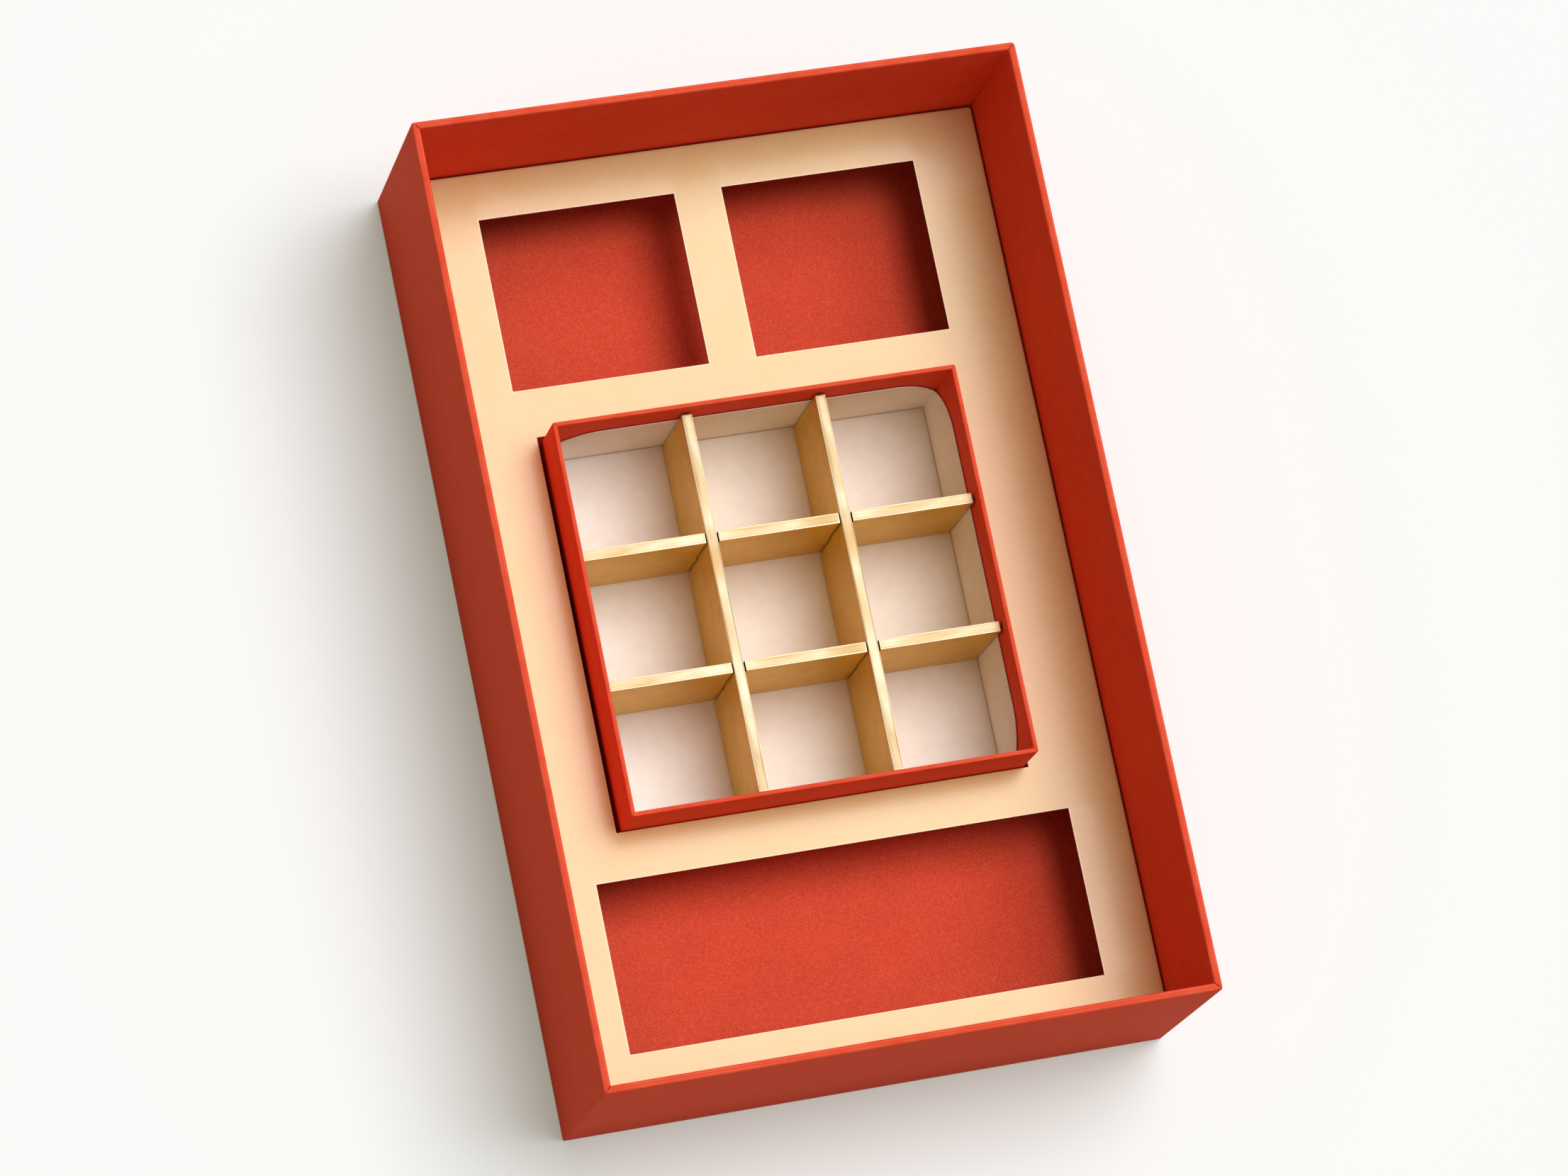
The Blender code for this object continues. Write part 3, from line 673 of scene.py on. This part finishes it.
def build_liner():
    """The sheet's outer skin: a gridded floor, a small roll at each crease, and four flaps with rounded ears."""
    cells, ear_steps, roll_steps, flap_rows = 24, 18, 4, 10
    shape = bmesh.new()
    crease = shape.verts.layers.float.new("crease")
    spot = spot_finder(shape)
    flat = liner_half - Vector((crease_roll, crease_roll))
    inner = flat - Vector((crease_width, crease_width))
    roll = arc(0, crease_roll, crease_roll, 3, 4, roll_steps)

    def creased_spot(x, y, z, creased):
        vertex = spot(x, y, z)
        vertex[crease] = creased
        return vertex

    def flap_column(axis, side, mark, folded):
        """The vertices of the flap on one side, at a mark along it: up the folded roll, then up to its edge."""
        past = abs(mark) - (flat[1 - axis] + crease_roll - ear_run)
        top = flap_height - ear_drop * max(0.0, past / ear_run) ** ear_curve
        upright = [(crease_roll, crease_roll + (top - crease_roll) * (row / flap_rows), 0.0)
                   for row in range(1, flap_rows + 1)]
        column = []
        for out, height, creased in [(out, height, 1.0) for out, height in folded] + upright:
            reach = side * (flat[axis] + out)
            column.append(creased_spot(*((reach, mark) if axis == 0 else (mark, reach)), height, creased))
        return column

    grid, flap_marks = [], []
    for half, reach in zip(flat, inner):
        lines = {-half, half, *(-reach + 2 * reach * step / cells for step in range(cells + 1))}
        rounding = [half + crease_roll - ear_run * (1 - step / ear_steps) for step in range(ear_steps)]
        ends = [half + crease_roll - liner_paper - flap_gap, *rounding]
        ends = [end for end in ends if end < half - crease_width or end > half]
        lines |= {side * end for end in ends if end < half for side in (-1, 1)}
        grid.append(sorted(lines))
        flap_marks.append(sorted({*lines, *(side * end for end in ends for side in (-1, 1))}))
    for x_0, x_1 in zip(grid[0], grid[0][1:]):
        for y_0, y_1 in zip(grid[1], grid[1][1:]):
            shape.faces.new([
                creased_spot(x, y, 0, float(max(abs(x) - inner.x, abs(y) - inner.y) > crease_width / 2))
                for x, y in ((x_0, y_0), (x_1, y_0), (x_1, y_1), (x_0, y_1))])
    for axis, side in ((0, -1), (0, 1), (1, -1), (1, 1)):
        marks = flap_marks[1 - axis]
        for mark_0, mark_1 in zip(marks, marks[1:]):
            folded = roll if max(abs(mark_0), abs(mark_1)) <= flat[1 - axis] else roll[-1:]
            column_0, column_1 = (flap_column(axis, side, mark, folded) for mark in (mark_0, mark_1))
            for low_0, high_0, low_1, high_1 in zip(column_0, column_0[1:], column_1, column_1[1:]):
                shape.faces.new([low_0, low_1, high_1, high_0])
    return skin_mesh("paper_liner", shape, looks_up=False)


def liner_finish(name):
    """Uncoated white paper: a faint cloudy look-through, soft fibres, and creases painted darker as shade."""
    material, tree, place = start_finish(name)
    clouds = add_node(tree, "ShaderNodeTexNoise",
                      {"Vector": place, "Scale": 1 / (5 * mm), "Detail": 5, "Roughness": 0.65})
    fibres = add_node(tree, "ShaderNodeTexNoise",
                      {"Vector": place, "Scale": 1 / (0.5 * mm), "Detail": 3, "Roughness": 0.6})
    blend = add_node(tree, "ShaderNodeMix", {"Factor": 0.4, "A": clouds, "B": fibres}, data_type="FLOAT")
    evened = add_node(tree, "ShaderNodeMapRange", {"Value": blend, "From Min": 0.35, "From Max": 0.65})
    paper = add_node(tree, "ShaderNodeMix", {"Factor": evened, "A": colour("#f0e8e4"), "B": colour("#f7f1ee")},
                     data_type="RGBA")
    # The creases are painted darker, as painted shade in the folds.
    crease = add_node(tree, "ShaderNodeAttribute", attribute_name="crease").outputs["Fac"]
    crease_shade = add_node(tree, "ShaderNodeMapRange",
                      {"Value": crease, "From Min": 0.2, "From Max": 1.0, "To Max": 0.75})
    tint = add_node(tree, "ShaderNodeMix", {"Factor": crease_shade, "A": paper, "B": colour("#b39d92")},
                    data_type="RGBA")
    end_finish(tree, fibres, 0.02 * mm, {"Base Color": tint, "Roughness": 0.85, "Specular IOR Level": 0.2})
    return material


paper_liner = place_object("paper_liner", build_liner())
paper_liner.data.transform(Matrix.Translation(liner_foot))
paper_liner.data.materials.append(liner_finish("uncoated_white_paper"))
thicken(paper_liner, liner_paper)
keep_result(paper_liner)
soften(paper_liner, sharpest=60)
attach(paper_liner, "liner")
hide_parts("liner")


# Dividers: four strips of board in brushed gold paper, slotted half through and crossed to make nine cells.
# Their upper faces are painted paler, with broad bright sweeps, as painted sheen, inside a fine darker gold line
# and a border painted pale as an edge highlight.
def gold_finish(name):
    """Gold-faced board: satin gold with a fine grit; on its upper face, streaked along the strip and painted paler
    as sheen.
    """
    material, tree, place = start_finish(name)
    # Repeats in a metre, along, across and up the strip: strokes of 17 by 0.4 mm, and sweeps of painted sheen of
    # 22 by 8 mm.
    stroke_repeats, sheen_sweep_repeats = (60, 2500, 1400), (45, 120, 120)
    strip_place = add_node(tree, "ShaderNodeAttribute", attribute_name="strip_place").outputs["Vector"]
    stroke_place = add_node(tree, "ShaderNodeMapping", {"Vector": strip_place, "Scale": stroke_repeats})
    strokes = add_node(tree, "ShaderNodeTexNoise",
                       {"Vector": stroke_place, "Scale": 1.0, "Detail": 4, "Roughness": 0.65})
    sheen_sweep_place = add_node(tree, "ShaderNodeMapping", {"Vector": strip_place, "Scale": sheen_sweep_repeats})
    sheen_sweeps = add_node(tree, "ShaderNodeTexNoise",
                      {"Vector": sheen_sweep_place, "Scale": 1.0, "Detail": 2, "Roughness": 0.5})
    brushing_and_sheen = add_node(tree, "ShaderNodeMix", {"Factor": 0.6, "A": strokes, "B": sheen_sweeps}, data_type="FLOAT")
    brush_and_sheen_share = add_node(tree, "ShaderNodeMapRange", {"Value": brushing_and_sheen, "From Min": 0.38, "From Max": 0.6})
    brushed_with_sheen = add_node(tree, "ShaderNodeMix",
                       {"Factor": brush_and_sheen_share, "A": colour("#c7a15a"), "B": colour("#ece0bf")}, data_type="RGBA")
    tint, _, _, grit = two_shades(tree, place, ("#dcaa37", "#edc253"), 0.35,
                                  {"Scale": 1 / (7 * mm), "Detail": 4, "Roughness": 0.6},
                                  {"Scale": 1 / (0.4 * mm), "Detail": 2, "Roughness": 0.6}, speck_range=(0.0, 1.0))
    # The upper face is painted paler as sheen, its border pale as an edge highlight, and a fine darker gold line
    # lies between.
    for mark, shade in (("burnished", brushed_with_sheen), ("worn_edge", colour("#eee1bf")), ("score", colour("#c09a55")),
                        # The cut faces show the board's core, painted near-black as the shade in the slots and in
                        # the gaps at the strip ends.
                        ("cut", colour("#32231a"))):
        marked = add_node(tree, "ShaderNodeAttribute", attribute_name=mark).outputs["Fac"]
        tint = add_node(tree, "ShaderNodeMix", {"Factor": marked, "A": tint, "B": shade}, data_type="RGBA")
    burnished = add_node(tree, "ShaderNodeAttribute", attribute_name="burnished").outputs["Fac"]
    relief = add_node(tree, "ShaderNodeMix", {"Factor": burnished, "A": grit, "B": strokes}, data_type="FLOAT")
    metal = add_node(tree, "ShaderNodeMapRange", {"Value": burnished, "To Min": 0.3, "To Max": 0.12})
    matt = add_node(tree, "ShaderNodeMapRange",
                    {"Value": strokes, "From Min": 0.3, "From Max": 0.7, "To Min": 0.36, "To Max": 0.48})
    end_finish(tree, relief, 0.012 * mm, {"Base Color": tint, "Roughness": matt, "Metallic": metal})
    return material


def divider_strip_group():
    """A strip standing on its lower edge: a board with two slots, cut from above or from below, along X."""
    columns, rows = 6, 3
    tree, given = start_group(
        "divider_strip", ("Run", "Height", "Thickness", "Slot Spacing", "Slot Width", "Slot Depth", "Turn"),
        {"Slots Above": "Bool", "Place": "Vector", "Finish": "Material"})
    grid = add_node(tree, "GeometryNodeMeshGrid", {"Vertices X": columns, "Vertices Y": rows})
    middle = add_node(tree, "ShaderNodeSeparateXYZ",
                      {"Vector": add_node(tree, "GeometryNodeInputPosition")}).outputs
    sizes = {socket.name: socket for socket in given}
    sizes |= {"index": add_node(tree, "GeometryNodeInputIndex"), "middle x": middle["X"], "middle z": middle["Z"]}
    work_out(tree, sizes, (
        ("column place", "DIVIDE", "index", float(rows)), ("column", "FLOOR", "column place"),
        ("rows before", "MULTIPLY", "column", float(rows)), ("row", "SUBTRACT", "index", "rows before"),
        ("from middle", "SUBTRACT", "column", (columns - 1) / 2), ("steps out", "ABSOLUTE", "from middle"),
        ("rank", "SUBTRACT", "steps out", 0.5), ("side", "SIGN", "from middle"),
        ("half run", "MULTIPLY", "Run", 0.5), ("slot place", "MULTIPLY", "Slot Spacing", 0.5),
        ("half slot", "MULTIPLY", "Slot Width", 0.5), ("slot start", "SUBTRACT", "slot place", "half slot"),
        ("slot end", "ADD", "slot place", "half slot"), ("upper cut", "SUBTRACT", "Height", "Slot Depth"),
        ("half board", "MULTIPLY", "Thickness", 0.5), ("across", "MULTIPLY", "Thickness", -1.0),
        ("middle out", "ABSOLUTE", "middle x"), ("past slot", "SUBTRACT", "middle out", "slot place"),
        ("off slot", "ABSOLUTE", "past slot"), ("in slot", "LESS_THAN", "off slot", "half slot"),
        ("above upper", "GREATER_THAN", "middle z", "upper cut"),
        ("below lower", "LESS_THAN", "middle z", "Slot Depth"),
        ("cut above", "MULTIPLY", "in slot", "above upper"), ("cut below", "MULTIPLY", "in slot", "below lower"),
    ))
    for name, below, above in (("cut level", "Slot Depth", "upper cut"), ("slot faces", "cut below", "cut above")):
        sizes[name] = add_node(tree, "GeometryNodeSwitch",
                               {"Switch": given["Slots Above"], "False": sizes[below], "True": sizes[above]},
                               input_type="FLOAT")
    for name, chooser, first, second, third in (
            ("out", "rank", sizes["slot start"], sizes["slot end"], sizes["half run"].outputs[0]),
            ("level", "row", 0.0, sizes["cut level"], given["Height"])):
        sizes[name] = add_node(tree, "GeometryNodeIndexSwitch", {"Index": sizes[chooser], 1: first, 2: second},
                               data_type="FLOAT")
        sizes[name].index_switch_items.new()
        tree.links.new(third, sizes[name].inputs[3])
    work_out(tree, sizes, (("x", "MULTIPLY", "out", "side"),))
    spot = add_node(tree, "ShaderNodeCombineXYZ", {"X": sizes["x"], "Y": sizes["half board"], "Z": sizes["level"]})
    laid = add_node(tree, "GeometryNodeSetPosition", {"Geometry": grid, "Position": spot})
    slotted = add_node(tree, "GeometryNodeDeleteGeometry", {"Geometry": laid, "Selection": sizes["slot faces"]},
                       domain="FACE")
    board_depth = add_node(tree, "ShaderNodeCombineXYZ", {"Y": sizes["across"]})
    board = add_node(tree, "GeometryNodeExtrudeMesh",
                     {"Mesh": slotted, "Offset": board_depth, "Offset Scale": 1.0, "Individual": False},
                     mode="FACES")
    back = add_node(tree, "GeometryNodeFlipFaces", {"Mesh": slotted})
    closed = add_node(tree, "GeometryNodeJoinGeometry")
    for part in (board, back):
        tree.links.new(part.outputs[0], closed.inputs[0])
    welded = add_node(tree, "GeometryNodeMergeByDistance", {"Geometry": closed, "Distance": 0.002 * mm})
    noted = add_node(tree, "GeometryNodeStoreNamedAttribute",
                     {"Geometry": welded, "Name": "strip_place",
                      "Value": add_node(tree, "GeometryNodeInputPosition")},
                     data_type="FLOAT_VECTOR", domain="POINT")
    end_group(tree, given, noted, add_node(tree, "ShaderNodeCombineXYZ", {"Z": given["Turn"]}))
    return tree


divider_strip = divider_strip_group()
gold_board = gold_finish("brushed_gold_faced_board")
strip_height = 36.4 * mm
strip_foot = 4.5 * mm
strip_top = strip_foot + strip_height
top_layer = 1.0 * mm
tray_middle = -2 * mm
cross_strip_out = 21.617 * mm
long_strip_out = 22.283 * mm
strip_sizes = {"Height": strip_height, "Thickness": 3.4 * mm, "Slot Width": 4.4 * mm, "Slot Depth": 18.5 * mm,
               "Finish": gold_board}


def finish_top(piece, border, score):
    """Insets the strip's upper face twice: a border painted pale as an edge highlight, and inside it a fine darker
    gold line.
    """
    shape = bmesh.new()
    shape.from_mesh(piece.data)
    for name in ("burnished", "worn_edge", "score", "cut"):
        shape.faces.layers.float.new(name)
    marks = dict(shape.faces.layers.float.items())
    along = 0 if piece.dimensions.x > piece.dimensions.y else 1
    near_top = [face for face in shape.faces if face.calc_center_median().z > strip_top - top_layer]
    top = [face for face in near_top if face.normal.z > 0.9]
    # The end and slot faces take the dark core colour, painted darker as shade.
    for face in shape.faces:
        face[marks["cut"]] = float(abs(face.normal[along]) > 0.9)
    # The rounded faces along the top are painted pale, as an edge highlight.
    for face in near_top:
        face[marks["worn_edge"]] = float(face.normal.z > 0.2)
    for width, name in ((border, "worn_edge"), (score, "score")):
        for face in bmesh.ops.inset_region(shape, faces=top, thickness=width, use_even_offset=True)["faces"]:
            for mark in marks.values():
                face[mark] = 0.0
            face[marks[name]] = 1.0
    # The upper face inside the border takes the painted sheen.
    for face in top:
        face[marks["worn_edge"]] = 0.0
        face[marks["burnished"]] = 1.0
    shape.to_mesh(piece.data)
    shape.free()


def make_strip(name, body, node_name, values):
    """One strip, with its edges rounded and its top painted paler as sheen, in place of its CAD node."""
    strip = grow(name, divider_strip, {**strip_sizes, **values})
    round_edges(strip, width=0.18 * mm)
    keep_result(strip)
    finish_top(strip, border=0.3 * mm, score=0.16 * mm)
    soften(strip)
    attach(strip, body)
    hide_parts(node_name)


# The slots of each pair are where the other pair crosses it.
for name, side in (("back", 1), ("front", -1)):
    make_strip("gold_cross_strip_" + name, "cross_strips", "cross_strip_" + name,
               {"Run": 129.6 * mm, "Slot Spacing": 2 * long_strip_out, "Slots Above": True, "Turn": 0.0,
                "Place": (0, tray_middle + side * cross_strip_out, strip_foot)})
for name, side in (("left", -1), ("right", 1)):
    make_strip("gold_long_strip_" + name, "long_strip_" + name, "long_strip_" + name,
               {"Run": 125.6 * mm, "Slot Spacing": 2 * cross_strip_out, "Slots Above": False, "Turn": math.pi / 2,
                "Place": (side * long_strip_out, tray_middle, strip_foot)})
